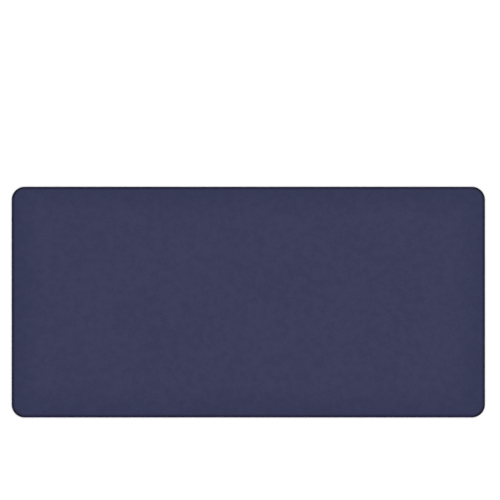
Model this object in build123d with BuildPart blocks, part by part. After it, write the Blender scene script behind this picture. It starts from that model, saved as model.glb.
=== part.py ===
from build123d import *
import os

# Desk mat: a reversible laminate of two synthetic-leather sheets bonded back to back, pressed
# thin all round and closed by a painted edge.
#
# Millimetres. +X runs along the mat, +Y towards the far edge of the desk, +Z up.
# The origin is the centre of the underside, which lies on the desk.

# Finished outline
length = 800.0
depth = 390.0
corner_radius = 22.0

# Layers of each sheet, from its outer face inwards, and the film between the two sheets
skin_thickness = 0.10
foam_thickness = 0.25
cloth_thickness = 0.60
bond_thickness = 0.10

# Pressed border, measured inwards from the cut edge of the layers
rim_thickness = 1.10
rim_width = 2.20
border_width = 5.40

# Edge seal: how far it stands out from the cut edge, laps over each face and coats it
seal_wall = 0.60
seal_lap = 2.00
seal_coat = 0.12
seal_round = 0.60
seal_feather = 0.08

# Layer boundaries, as heights above the middle of the bond film
bond_face = bond_thickness / 2
cloth_face = bond_face + cloth_thickness
foam_face = cloth_face + foam_thickness
skin_face = foam_face + skin_thickness

thickness = 2 * skin_face
middle = Plane.XY.offset(skin_face)
seal_thickness = rim_thickness + 2 * seal_coat


def layer_outline(inset):
    """The cut outline of the layers, brought in by an inset that keeps its corners concentric."""
    margin = seal_wall + inset
    return RectangleRounded(length - 2 * margin, depth - 2 * margin, corner_radius - margin)


def stack_below(face):
    """The solid from the middle up to a layer boundary, which the press brings down at the rim."""
    pressed_face = face * rim_thickness / thickness
    with BuildPart() as stack:
        with BuildSketch(middle):
            layer_outline(0)
        extrude(amount=pressed_face)
        with BuildSketch(middle.offset(pressed_face)):
            layer_outline(rim_width)
        with BuildSketch(middle.offset(face)):
            layer_outline(border_width)
        loft(ruled=True)
    return stack.part


below_bond_face = stack_below(bond_face)
below_cloth_face = stack_below(cloth_face)
below_foam_face = stack_below(foam_face)
below_skin_face = stack_below(skin_face)

# Film of adhesive that joins the two sheets, even about the middle
with BuildPart() as bond_film:
    add(below_bond_face)
    mirror(below_bond_face, about=middle)

# Upper sheet: knitted cloth, foamed coat, grained skin
with BuildPart() as top_cloth:
    add(below_cloth_face)
    add(below_bond_face, mode=Mode.SUBTRACT)

with BuildPart() as top_foam:
    add(below_foam_face)
    add(below_cloth_face, mode=Mode.SUBTRACT)

with BuildPart() as top_skin:
    add(below_skin_face)
    add(below_foam_face, mode=Mode.SUBTRACT)

# Lower sheet: the same, facing the desk
with BuildPart() as bottom_cloth:
    mirror(top_cloth.part, about=middle)

with BuildPart() as bottom_foam:
    mirror(top_foam.part, about=middle)

with BuildPart() as bottom_skin:
    mirror(top_skin.part, about=middle)

# Edge seal: a bead of cured edge paint that wraps the cut edge and laps onto both faces
with BuildPart() as edge_seal:
    with BuildSketch(middle.offset(-seal_thickness / 2)):
        RectangleRounded(length, depth, corner_radius)
        with BuildSketch(mode=Mode.SUBTRACT):
            layer_outline(seal_lap)
    extrude(amount=seal_thickness)
    seal_faces = edge_seal.faces().filter_by(Axis.Z)
    outer_edges = [edge for face in seal_faces for edge in face.outer_wire().edges()]
    fillet(outer_edges, radius=seal_round)
    seal_faces = edge_seal.faces().filter_by(Axis.Z)
    inner_edges = [edge for face in seal_faces for edge in face.inner_wires()[0].edges()]
    chamfer(inner_edges, length=seal_feather)
    add(below_skin_face, mode=Mode.SUBTRACT)
    mirror(below_skin_face, about=middle, mode=Mode.SUBTRACT)

pieces = {
    "top_skin": top_skin,
    "top_foam": top_foam,
    "top_cloth": top_cloth,
    "bond_film": bond_film,
    "bottom_cloth": bottom_cloth,
    "bottom_foam": bottom_foam,
    "bottom_skin": bottom_skin,
    "edge_seal": edge_seal,
}
os.makedirs("parts", exist_ok=True)
for name, piece in pieces.items():
    piece.part.label = name
    export_step(piece.part, f"parts/{name}.step")
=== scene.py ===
"""Desk mat: the finished look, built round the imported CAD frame.

Metres. +X along the mat, +Y towards the far edge of the desk, +Z up, origin under the mat's centre.
"""

import math

import bpy
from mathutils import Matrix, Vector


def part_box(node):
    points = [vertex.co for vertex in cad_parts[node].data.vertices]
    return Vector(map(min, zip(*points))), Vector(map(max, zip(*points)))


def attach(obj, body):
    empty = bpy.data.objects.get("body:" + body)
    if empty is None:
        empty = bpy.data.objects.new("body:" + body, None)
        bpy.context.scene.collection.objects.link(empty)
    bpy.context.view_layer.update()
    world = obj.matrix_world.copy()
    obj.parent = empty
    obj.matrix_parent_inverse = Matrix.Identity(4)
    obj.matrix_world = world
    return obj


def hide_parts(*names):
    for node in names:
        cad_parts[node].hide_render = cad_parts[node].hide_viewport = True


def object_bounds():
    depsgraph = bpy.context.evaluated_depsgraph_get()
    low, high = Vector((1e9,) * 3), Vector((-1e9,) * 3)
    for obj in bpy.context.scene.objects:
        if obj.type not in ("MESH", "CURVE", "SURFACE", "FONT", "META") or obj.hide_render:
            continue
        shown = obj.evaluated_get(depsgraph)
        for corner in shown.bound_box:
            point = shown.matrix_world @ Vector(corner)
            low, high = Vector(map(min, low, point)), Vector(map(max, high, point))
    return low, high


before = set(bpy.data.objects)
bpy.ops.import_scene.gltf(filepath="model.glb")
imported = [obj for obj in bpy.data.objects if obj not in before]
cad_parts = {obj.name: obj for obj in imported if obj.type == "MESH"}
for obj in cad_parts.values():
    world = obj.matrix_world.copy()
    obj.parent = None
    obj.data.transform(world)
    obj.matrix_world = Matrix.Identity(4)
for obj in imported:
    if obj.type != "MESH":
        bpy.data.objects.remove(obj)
cad_low, cad_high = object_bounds()
BODY = "root"

# ---------------------------------------------------------------- sizes that the frame gives

half_length, half_depth = cad_high.x, cad_high.y
middle = cad_high.z / 2
skin_low, skin_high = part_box("top_skin")
seal_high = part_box("edge_seal")[1]

# Layer boundaries above the middle, where the mat has its full thickness
bond_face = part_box("bond_film")[1].z - middle
cloth_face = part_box("top_cloth")[1].z - middle
foam_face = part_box("top_foam")[1].z - middle
skin_face = skin_high.z - middle

# The layers' cut edge inside the outline, and how far the press brings them together there
cut_edge = half_length - skin_high.x
pressed_share = (skin_low.z - middle) / foam_face
rim_face = skin_face * pressed_share
seal_face = seal_high.z - middle

# ---------------------------------------------------------------- sizes of the finished shape

CORNER_RADIUS = 0.022

# Distances inside the outline at which the flat rim, the border's slope and the seal's lap end
RIM_END = cut_edge + 0.0022
BORDER_END = cut_edge + 0.0054
SEAL_LAP_END = cut_edge + 0.0020

# The seal's lap: how far its end wanders, and how round it is across
LAP_WANDER = 0.00012
LAP_ROUNDNESS = 2.5

# The seal's outer nose: how deep it is, and its squareness, where 1 is an ellipse and 0 a square
SEAL_NOSE = 0.00068
NOSE_SQUARENESS = 0.45
NOSE_STEPS = 12

# How far the mat lifts off the desk in the long shallow waves left from its roll, and the metres
# that each wave takes along X and Y to turn by one radian
LIFT = 0.00022
LONG_WAVE = (0.083, 0.071)
SLANT_WAVE = (0.041, 0.057)

# Steps along the length, along the depth and round each corner
FINE_STEPS = (190, 88, 24)
COARSE_STEPS = (64, 30, 10)

# Rings of points over the flat rim, over the slope of the border and inside the border
FINE_RINGS = (2, 8, 5)
COARSE_RINGS = (1, 4, 2)


def lift(x, y):
    """How far the whole mat stands off the desk at a point: two waves and a slight curl of the ends."""
    long_wave = math.cos(x / LONG_WAVE[0] + 0.7) * math.cos(y / LONG_WAVE[1] + 0.4)
    slant_wave = math.cos(x / SLANT_WAVE[0] + y / SLANT_WAVE[1] + 1.9)
    end_curl = (x / half_length) ** 6
    return LIFT * (0.5 + 0.3 * long_wave + 0.2 * slant_wave + 0.6 * end_curl)


def layer_height(face, x, y, inset):
    """Height of a layer boundary: full inside the border, pressed towards the middle at the rim."""
    rise = min(max((inset - RIM_END) / (BORDER_END - RIM_END), 0.0), 1.0)
    round_top = math.sin(rise * math.pi / 2)
    even_slope = rise * rise * (3 - 2 * rise)
    share = pressed_share + (1 - pressed_share) * (round_top + even_slope) / 2
    return middle + face * share + lift(x, y)


# ---------------------------------------------------------------- outline and sheets


def outline(steps):
    """Places round the outline, counter-clockwise from the near right corner: x, y and outwards."""
    length_steps, depth_steps, corner_steps = steps
    straight_x, straight_y = half_length - CORNER_RADIUS, half_depth - CORNER_RADIUS
    places = []
    for quarter, (right, far) in enumerate(((1, -1), (1, 1), (-1, 1), (-1, -1))):
        for step in range(corner_steps + 1):
            angle = (quarter - 1 + step / corner_steps) * math.pi / 2
            out_x, out_y = math.cos(angle), math.sin(angle)
            x = right * straight_x + CORNER_RADIUS * out_x
            y = far * straight_y + CORNER_RADIUS * out_y
            places.append((x, y, out_x, out_y))
        along_depth = quarter % 2 == 0
        side = 2 * (straight_y if along_depth else straight_x)
        side_steps = depth_steps if along_depth else length_steps
        for step in range(1, side_steps):
            gone = side * step / side_steps
            places.append((x - out_y * gone, y + out_x * gone, out_x, out_y))
    return places


def brought_in(place, inset):
    """The point at a distance inside the outline."""
    x, y, out_x, out_y = place
    return x - out_x * inset, y - out_y * inset


def grid_rim(steps):
    """For each place of the outline, the column and row of the inner grid that it meets."""
    length_steps, depth_steps, corner_steps = steps
    rim = []
    corners = ((length_steps, 0), (length_steps, depth_steps), (0, depth_steps), (0, 0))
    ways = ((0, 1), (-1, 0), (0, -1), (1, 0))
    for quarter, ((column, row), (across, up)) in enumerate(zip(corners, ways)):
        rim += [(column, row)] * (corner_steps + 1)
        side_steps = depth_steps if quarter % 2 == 0 else length_steps
        rim += [(column + across * step, row + up * step) for step in range(1, side_steps)]
    return rim


def ring_insets(rings):
    """How far inside the outline each ring of points lies, evenly spaced within each zone."""
    bounds = (cut_edge, RIM_END, BORDER_END, CORNER_RADIUS)
    insets = []
    for start, end, count in zip(bounds, bounds[1:], rings):
        insets += [start + (end - start) * step / count for step in range(count)]
    return insets


def sheet_plan(rings, steps):
    """Plan of a whole sheet: its (x, y, inset) points, its faces and how many points its edge has."""
    insets = ring_insets(rings)
    length_steps, depth_steps, _ = steps
    places = outline(steps)
    around = len(places)
    points = [(*brought_in(place, inset), inset) for inset in insets for place in places]
    first = len(points)
    for row in range(depth_steps + 1):
        for column in range(length_steps + 1):
            x = (half_length - CORNER_RADIUS) * (2 * column / length_steps - 1)
            y = (half_depth - CORNER_RADIUS) * (2 * row / depth_steps - 1)
            points.append((x, y, CORNER_RADIUS))

    def in_grid(column, row):
        return first + row * (length_steps + 1) + column

    loops = [range(ring * around, (ring + 1) * around) for ring in range(len(insets))]
    loops.append([in_grid(column, row) for column, row in grid_rim(steps)])
    faces = []
    for outer, inner in zip(loops, loops[1:]):
        for step in range(around):
            after = (step + 1) % around
            face = (outer[step], outer[after], inner[after], inner[step])
            faces.append(face[:3] if inner[after] == inner[step] else face)
    for row in range(depth_steps):
        for column in range(length_steps):
            near = (in_grid(column, row), in_grid(column + 1, row))
            far = (in_grid(column + 1, row + 1), in_grid(column, row + 1))
            faces.append(near + far)
    return points, faces, around


def new_piece(name, points, faces, material):
    """A smooth-shaded piece that rides on the mat's body."""
    mesh = bpy.data.meshes.new(name)
    mesh.from_pydata(points, [], faces)
    mesh.materials.append(material)
    mesh.shade_smooth()
    piece = bpy.data.objects.new(name, mesh)
    bpy.context.scene.collection.objects.link(piece)
    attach(piece, BODY)
    return piece


def mark_edge_distance(piece, distances):
    """Stores each point's distance from the outline, which the materials read."""
    attribute = piece.data.attributes.new("edge_distance", "FLOAT", "POINT")
    attribute.data.foreach_set("value", distances)


def layer(name, node, material, faces_from_middle, plan):
    """One layer of the mat: a closed sheet between two layer boundaries, laid on what is under it."""
    low_face, high_face = faces_from_middle
    points, faces, around = plan
    count = len(points)
    upper = [(x, y, layer_height(high_face, x, y, inset)) for x, y, inset in points]
    lower = [(x, y, layer_height(low_face, x, y, inset)) for x, y, inset in points]
    closed = list(faces)
    closed += [tuple(count + corner for corner in reversed(face)) for face in faces]
    for step in range(around):
        after = (step + 1) % around
        closed.append((after, step, count + step, count + after))
    piece = new_piece(name, upper + lower, closed, material)
    mark_edge_distance(piece, [inset for _, _, inset in points] * 2)
    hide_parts(node)


# ---------------------------------------------------------------- edge seal


def seal_section(along):
    """Section of the bead at a distance round the mat, as (inset, height from the middle) pairs."""
    unevenness = 0.6 * math.sin(along / 0.027) + 0.4 * math.sin(along / 0.0113 + 1.3)
    lap_end = SEAL_LAP_END + LAP_WANDER * (1 + unevenness)
    lap = []
    for share in (1.0, 0.85, 0.65, 0.4, 0.2):
        height = rim_face + (seal_face - rim_face) * (1 - share**LAP_ROUNDNESS)
        lap.append((SEAL_NOSE + (lap_end - SEAL_NOSE) * share, height))
    nose = []
    for step in range(NOSE_STEPS + 1):
        angle = math.pi * (0.5 - step / NOSE_STEPS)
        inset = SEAL_NOSE * (1 - math.cos(angle) ** NOSE_SQUARENESS)
        height = seal_face * math.copysign(abs(math.sin(angle)) ** NOSE_SQUARENESS, math.sin(angle))
        nose.append((inset, height))
    under = [(inset, -height) for inset, height in reversed(lap)]
    inner_wall = [(cut_edge, -rim_face), (cut_edge, rim_face)]
    return lap + nose + under + inner_wall


def edge_bead(material):
    """The bead of edge paint that wraps the layers' cut edge all round."""
    places = outline(FINE_STEPS)
    around = len(places)
    along = 0.0
    sections = []
    for step, (x, y, _, _) in enumerate(places):
        before_x, before_y = places[step - 1][:2]
        along += math.hypot(x - before_x, y - before_y)
        sections.append(seal_section(along))
    points, distances, faces = [], [], []
    for rib in zip(*sections):
        for place, (inset, height) in zip(places, rib):
            x, y = brought_in(place, inset)
            points.append((x, y, middle + height + lift(x, y)))
            distances.append(inset)
    ribs = len(sections[0])
    for rib in range(ribs):
        here, there = rib * around, (rib + 1) % ribs * around
        for step in range(around):
            after = (step + 1) % around
            faces.append((here + step, there + step, there + after, here + after))
    piece = new_piece("edge_bead", points, faces, material)
    mark_edge_distance(piece, distances)
    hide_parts("edge_seal")


# ---------------------------------------------------------------- shader nodes

# Where the Mix node keeps its first input, its second input and its result
MIX_SOCKETS = {"FLOAT": (2, 3, 0), "RGBA": (6, 7, 2)}


def add_node(tree, kind, inputs, **settings):
    """Adds a shader node; each input is a value, or the output that feeds it."""
    made = tree.nodes.new("ShaderNode" + kind)
    for name, value in settings.items():
        setattr(made, name, value)
    for name, value in inputs.items():
        if isinstance(value, bpy.types.NodeSocket):
            tree.links.new(value, made.inputs[name])
        else:
            made.inputs[name].default_value = value
    return made


def maths(tree, operation, first, second=0.0):
    """The result of one sum on two values."""
    return add_node(tree, "Math", {0: first, 1: second}, operation=operation).outputs[0]


def times(tree, first, second):
    """The product of two values."""
    return maths(tree, "MULTIPLY", first, second)


def vector_maths(tree, operation, inputs, output="Vector"):
    """The result of one sum on vectors."""
    return add_node(tree, "VectorMath", inputs, operation=operation).outputs[output]


def noise(tree, place, per_metre, detail=3.0, roughness=0.5, output="Fac"):
    """Cloudy noise from 0 to 1, with about so many features to the metre."""
    inputs = {"Vector": place, "Scale": per_metre, "Detail": detail, "Roughness": roughness}
    return add_node(tree, "TexNoise", inputs).outputs[output]


def remap(tree, value, before, after=(0.0, 1.0)):
    """Eases a value from one range into another, and holds it at the ends."""
    inputs = {"Value": value}
    inputs["From Min"], inputs["From Max"] = before
    inputs["To Min"], inputs["To Max"] = after
    return add_node(tree, "MapRange", inputs, interpolation_type="SMOOTHSTEP").outputs[0]


def mix(tree, share, first, second, data_type="RGBA", blend_type="MIX"):
    """Mixes two colours or two values, each given or an output."""
    at_first, at_second, at_result = MIX_SOCKETS[data_type]
    inputs = {0: share, at_first: first, at_second: second}
    return add_node(tree, "Mix", inputs, data_type=data_type, blend_type=blend_type).outputs[at_result]


def tinted(tree, colour, tint):
    """A colour multiplied by a tint or a brightness."""
    return mix(tree, 1.0, colour, tint, blend_type="MULTIPLY")


def bump(tree, height, depth):
    """A normal from a height of 0 to 1, where 1 stands proud by depth metres."""
    return add_node(tree, "Bump", {"Height": height, "Distance": depth}).outputs[0]


def new_material(name):
    """A material, with its node tree, its Principled shader and the object's coordinates."""
    material = bpy.data.materials.new(name)
    material.use_nodes = True
    tree = material.node_tree
    place = add_node(tree, "TexCoord", {}).outputs["Object"]
    return material, tree, tree.nodes["Principled BSDF"], place


def feed(tree, shader, **outputs):
    """Links outputs to the shader's inputs, named with _ for a space."""
    for name, output in outputs.items():
        tree.links.new(output, shader.inputs[name.replace("_", " ")])


def edge_distance(tree):
    """Each point's distance from the outline, as mark_edge_distance stored it."""
    return add_node(tree, "Attribute", {}, attribute_name="edge_distance").outputs["Fac"]


def clear_of_edges(tree, place, reach):
    """Two shares, 0 at the short edges or at the long edges and 1 from a reach inside them."""
    axes = add_node(tree, "SeparateXYZ", {0: place})
    shares = []
    for axis, half_side in (("X", half_length), ("Y", half_depth)):
        away = maths(tree, "ABSOLUTE", axes.outputs[axis])
        shares.append(remap(tree, away, (half_side - reach, half_side), (1.0, 0.0)))
    return shares


# ---------------------------------------------------------------- materials

NAVY = (0.0252, 0.0281, 0.0770, 1.0)
NAVY_LIGHT = (0.0285, 0.0314, 0.0845, 1.0)
# Pressed border: darker pressed leather together with painted shade of the border's rolled slope
NAVY_PRESSED_AND_SHADED = (0.0066, 0.0060, 0.0345, 1.0)
# Painted shade: the field darkens towards the edges, standing in for light falling off there
EDGE_PAINTED_SHADE = (0.78, 0.82, 0.87, 1.0)
EDGE_PAINT = (0.0095, 0.0085, 0.0340, 1.0)
# Painted shade: the edge paint darkens towards the corners
CORNER_PAINTED_SHADE = (0.0010, 0.0010, 0.0130, 1.0)
RUBBED_PAINT = (0.022, 0.022, 0.040, 1.0)
FOAM_DARK = (0.035, 0.038, 0.095, 1.0)
FOAM_LIGHT = (0.055, 0.058, 0.125, 1.0)
CLOTH_DARK = (0.16, 0.165, 0.19, 1.0)
CLOTH_LIGHT = (0.36, 0.37, 0.40, 1.0)
GLUE_DARK = (0.48, 0.45, 0.37, 1.0)
GLUE_LIGHT = (0.62, 0.60, 0.53, 1.0)

# The pressed border's darker tone, which is partly painted shade of its rolled slope, ends and the
# field's begins at these distances from the outline
PRESSED_SHADE_TO_FIELD = (0.0022, 0.0068)

# How far the field's painted shade reaches in from the edges, how far from the corners the edge
# paint is darkened with painted shade, and how wide its rubbed crest is
PAINTED_SHADE_REACH = 0.060
CORNER_SHADE_REACH = 0.030
CREST_WIDTH = 0.0004


def leather_grain(tree, place):
    """Plump irregular pebbles, 1 on their tops and 0 in the deepest creases, under fine wrinkles."""
    pebbles_per_metre, wrinkles_per_metre = 900.0, 2300.0
    bend_reach = 0.0022
    bends = noise(tree, place, per_metre=260.0, detail=2.0, output="Color")
    centred = vector_maths(tree, "SUBTRACT", {0: bends, 1: (0.5, 0.5, 0.5)})
    shift = vector_maths(tree, "SCALE", {0: centred, "Scale": bend_reach})
    bent = vector_maths(tree, "ADD", {0: place, 1: shift})
    filling = times(tree, noise(tree, place, per_metre=420.0), 0.34)
    heights = []
    for per_metre, top in ((pebbles_per_metre, 0.62), (wrinkles_per_metre, 0.50)):
        cells = add_node(
            tree,
            "TexVoronoi",
            {"Vector": bent, "Scale": per_metre, "Randomness": 1.0},
            voronoi_dimensions="2D",
            feature="DISTANCE_TO_EDGE",
        )
        filled = maths(tree, "ADD", cells.outputs["Distance"], filling)
        heights.append(remap(tree, filled, (0.08, top)))
    pebbles, wrinkles = heights
    return maths(tree, "ADD", times(tree, pebbles, 0.75), times(tree, wrinkles, 0.25))


def leather():
    """Satin navy synthetic leather, darker and flatter where the border is pressed; the darker border is
    partly painted shade of its slope, with painted shade also towards the edges and in the grain's
    creases.
    """
    material, tree, shader, place = new_material("navy_leather")
    inside = remap(tree, edge_distance(tree), PRESSED_SHADE_TO_FIELD)
    grain = leather_grain(tree, place)
    clouds = noise(tree, place, per_metre=9.0, detail=4.0)
    mottling = noise(tree, place, per_metre=75.0, detail=5.0, roughness=0.75)
    pores = noise(tree, place, per_metre=5200.0, detail=2.0)

    field = mix(tree, remap(tree, clouds, (0.32, 0.68), (0.0, 0.75)), NAVY, NAVY_LIGHT)
    speckle = remap(tree, mottling, (0.3, 0.7), (0.91, 1.09))
    # Painted shade: the grain's creases are darker, standing in for the shade of its relief
    crease_shade = remap(tree, grain, (0.0, 0.9), (0.79, 1.165))
    shaded = tinted(tree, field, times(tree, speckle, crease_shade))
    clear = times(tree, *clear_of_edges(tree, place, PAINTED_SHADE_REACH))
    # Painted shade: the field is darkened within a reach of the edges
    edge_shaded = mix(tree, clear, tinted(tree, shaded, EDGE_PAINTED_SHADE), shaded)
    # The pressed border: darker leather there, partly painted shade of its slope
    colour = mix(tree, inside, NAVY_PRESSED_AND_SHADED, edge_shaded)

    creased = remap(tree, grain, (0.0, 0.8), (0.76, 0.60))
    uneven = times(tree, maths(tree, "SUBTRACT", clouds, 0.5), 0.16)
    roughness = maths(tree, "ADD", creased, uneven)

    relief = maths(tree, "ADD", grain, times(tree, pores, 0.18))
    flattened = times(tree, relief, remap(tree, inside, (0.0, 1.0), (0.45, 1.0)))
    feed(tree, shader, Base_Color=colour, Roughness=roughness, Normal=bump(tree, flattened, depth=0.0002))
    shader.inputs["IOR"].default_value = 1.34
    return material


def edge_paint():
    """Dark navy edge paint, brushed on: matte, with faint runs, a rubbed crest and corners darkened by
    painted shade.
    """
    material, tree, shader, place = new_material("edge_paint")
    runs = noise(tree, place, per_metre=140.0, detail=4.0, roughness=0.6)
    fine = noise(tree, place, per_metre=1500.0, detail=2.0)

    clear_of_corner = maths(tree, "MAXIMUM", *clear_of_edges(tree, place, CORNER_SHADE_REACH))
    clear_of_corner_shade = remap(tree, clear_of_corner, (0.3, 1.0))
    # Painted shade: darker paint near the corners
    paint = mix(tree, clear_of_corner_shade, CORNER_PAINTED_SHADE, EDGE_PAINT)
    painted = tinted(tree, paint, remap(tree, runs, (0.3, 0.7), (0.8, 1.25)))
    crest = remap(tree, edge_distance(tree), (0.0, CREST_WIDTH), (1.0, 0.0))
    rubbed = times(tree, crest, remap(tree, runs, (0.45, 0.7)))
    colour = mix(tree, times(tree, rubbed, 0.5), painted, RUBBED_PAINT)

    roughness = remap(tree, runs, (0.25, 0.75), (0.48, 0.66))
    height = maths(tree, "ADD", runs, times(tree, fine, 0.2))
    feed(tree, shader, Base_Color=colour, Roughness=roughness, Normal=bump(tree, height, depth=0.00009))
    shader.inputs["IOR"].default_value = 1.20
    return material


def foamed_coat():
    """Soft navy polyurethane foam, with fine closed bubbles."""
    material, tree, shader, place = new_material("foamed_coat")
    bubbles = add_node(tree, "TexVoronoi", {"Vector": place, "Scale": 2600.0}).outputs["Distance"]
    colour = mix(tree, noise(tree, place, per_metre=60.0), FOAM_DARK, FOAM_LIGHT)
    roughness = remap(tree, bubbles, (0.0, 0.7), (0.7, 0.9))
    feed(tree, shader, Base_Color=colour, Roughness=roughness, Normal=bump(tree, bubbles, depth=0.00008))
    return material


def knitted_cloth():
    """Grey knitted base cloth: ribs of loops along the mat, with loose fibre between."""
    material, tree, shader, place = new_material("knitted_cloth")
    ribs_per_metre, rows_per_metre = 900.0, 1200.0
    axes = add_node(tree, "SeparateXYZ", {0: place})
    rib = maths(tree, "SINE", times(tree, axes.outputs["Y"], ribs_per_metre * math.tau))
    swing = times(tree, maths(tree, "ABSOLUTE", rib), 0.35)
    row_turns = maths(tree, "ADD", times(tree, axes.outputs["X"], rows_per_metre), swing)
    row = maths(tree, "SINE", times(tree, row_turns, math.tau))
    loops = maths(tree, "ADD", times(tree, rib, 0.5), times(tree, row, 0.5))
    fibre = noise(tree, place, per_metre=6000.0)
    height = maths(tree, "ADD", loops, fibre)
    colour = mix(tree, remap(tree, height, (-0.6, 1.6)), CLOTH_DARK, CLOTH_LIGHT)
    roughness = remap(tree, fibre, (0.2, 0.8), (0.82, 0.96))
    feed(tree, shader, Base_Color=colour, Roughness=roughness, Normal=bump(tree, height, depth=0.0001))
    return material


def adhesive_film():
    """Cured adhesive between the two cloths, pale and slightly yellow, with rolled-out streaks."""
    material, tree, shader, place = new_material("adhesive_film")
    rolled_out = (0.15, 1.0, 1.0)
    stretched = add_node(tree, "Mapping", {"Vector": place, "Scale": rolled_out}).outputs[0]
    streaks = noise(tree, stretched, per_metre=220.0, detail=4.0)
    colour = mix(tree, streaks, GLUE_DARK, GLUE_LIGHT)
    roughness = remap(tree, streaks, (0.3, 0.7), (0.30, 0.48))
    feed(tree, shader, Base_Color=colour, Roughness=roughness, Normal=bump(tree, streaks, depth=0.00004))
    return material


# ---------------------------------------------------------------- the mat

FLOOR_NAME = "studio_floor"

# From the desk upwards: each layer's piece, the node that it stands for and its material slot
LAYERS = (
    ("lower_leather", "bottom_skin", "grained_leather"),
    ("lower_foam", "bottom_foam", "foamed_coat"),
    ("lower_cloth", "bottom_cloth", "knitted_cloth"),
    ("glue_film", "bond_film", "adhesive_film"),
    ("upper_cloth", "top_cloth", "knitted_cloth"),
    ("upper_foam", "top_foam", "foamed_coat"),
    ("upper_leather", "top_skin", "grained_leather"),
)


def layers():
    """The seven layers, each laid on the one before; the two leathers, which show, are the finest."""
    materials = {
        "grained_leather": leather(),
        "foamed_coat": foamed_coat(),
        "knitted_cloth": knitted_cloth(),
        "adhesive_film": adhesive_film(),
    }
    fine_plan = sheet_plan(FINE_RINGS, FINE_STEPS)
    coarse_plan = sheet_plan(COARSE_RINGS, COARSE_STEPS)
    upper_faces = [bond_face, cloth_face, foam_face, skin_face]
    boundaries = [-face for face in reversed(upper_faces)] + upper_faces
    for (name, node, slot), *faces_from_middle in zip(LAYERS, boundaries, boundaries[1:]):
        plan = fine_plan if slot == "grained_leather" else coarse_plan
        layer(name, node, materials[slot], faces_from_middle, plan)


layers()
edge_bead(edge_paint())

# ---------------------------------------------------------------- studio

WHITE = (1.0, 1.0, 1.0, 1.0)
BLACK = (0.0, 0.0, 0.0, 1.0)
PALE_FLOOR = (0.90, 0.90, 0.90, 1.0)
BACKDROP = 1.05
FLOOR_HALF = 15.0

# Distances from the mat's middle between which the floor turns into the backdrop
FLOOR_TO_BACKDROP = (1.2, 4.0)


def studio_floor():
    """A plain pale floor at the desk's level, which turns into the backdrop far from the mat."""
    mesh = bpy.data.meshes.new(FLOOR_NAME)
    corners = [(x * FLOOR_HALF, y * FLOOR_HALF, 0.0) for x, y in ((-1, -1), (1, -1), (1, 1), (-1, 1))]
    mesh.from_pydata(corners, [], [(0, 1, 2, 3)])
    material, tree, shader, place = new_material("pale_floor")
    away = vector_maths(tree, "LENGTH", {0: place}, output="Value")
    glow = remap(tree, away, FLOOR_TO_BACKDROP)
    colour = mix(tree, glow, PALE_FLOOR, BLACK)
    feed(tree, shader, Base_Color=colour, Emission_Strength=times(tree, glow, BACKDROP))
    shader.inputs["Emission Color"].default_value = WHITE
    shader.inputs["Specular IOR Level"].default_value = 0.0
    mesh.materials.append(material)
    floor = bpy.data.objects.new(FLOOR_NAME, mesh)
    bpy.context.scene.collection.objects.link(floor)


def soft_key(strength, spread, towards):
    """A broad distant light that shines from one side on the mat and the floor alike."""
    light = bpy.data.lights.new("soft_key", "SUN")
    light.energy = strength
    light.angle = math.radians(spread)
    lamp = bpy.data.objects.new("soft_key", light)
    lamp.location = towards
    lamp.rotation_mode = "QUATERNION"
    lamp.rotation_quaternion = lamp.location.to_track_quat("Z", "Y")
    bpy.context.scene.collection.objects.link(lamp)


def studio_air(level, overhead):
    """Soft pale light from all round, brightest overhead, behind an even pale backdrop."""
    world = bpy.data.worlds.new("studio")
    world.use_nodes = True
    tree = world.node_tree
    direction = add_node(tree, "TexCoord", {}).outputs["Generated"]
    upwards = add_node(tree, "SeparateXYZ", {0: direction}).outputs["Z"]
    light = remap(tree, upwards, (0.1, 0.8), (level, overhead))
    seen = add_node(tree, "LightPath", {}).outputs["Is Camera Ray"]
    background = tree.nodes["Background"]
    background.inputs["Color"].default_value = WHITE
    tree.links.new(mix(tree, seen, light, BACKDROP, data_type="FLOAT"), background.inputs["Strength"])
    bpy.context.scene.world = world


def overhead_camera(seen_width, aside, beyond):
    """Straight down, a little beyond the mat's middle, so that the mat lies low in the picture."""
    lens = bpy.data.cameras.new("overhead")
    lens.lens = 85.0
    lens.sensor_width = 36.0
    height = cad_high.z + seen_width * lens.lens / lens.sensor_width
    camera = bpy.data.objects.new("overhead", lens)
    camera.location = (aside, beyond, height)
    bpy.context.scene.collection.objects.link(camera)
    bpy.context.scene.camera = camera


studio_floor()
studio_air(level=0.36, overhead=1.15)
soft_key(strength=0.75, spread=36.0, towards=(1.7, 1.2, 2.4))
overhead_camera(seen_width=0.845, aside=0.0028, beyond=0.0881)
bpy.context.scene.view_settings.view_transform = "Standard"
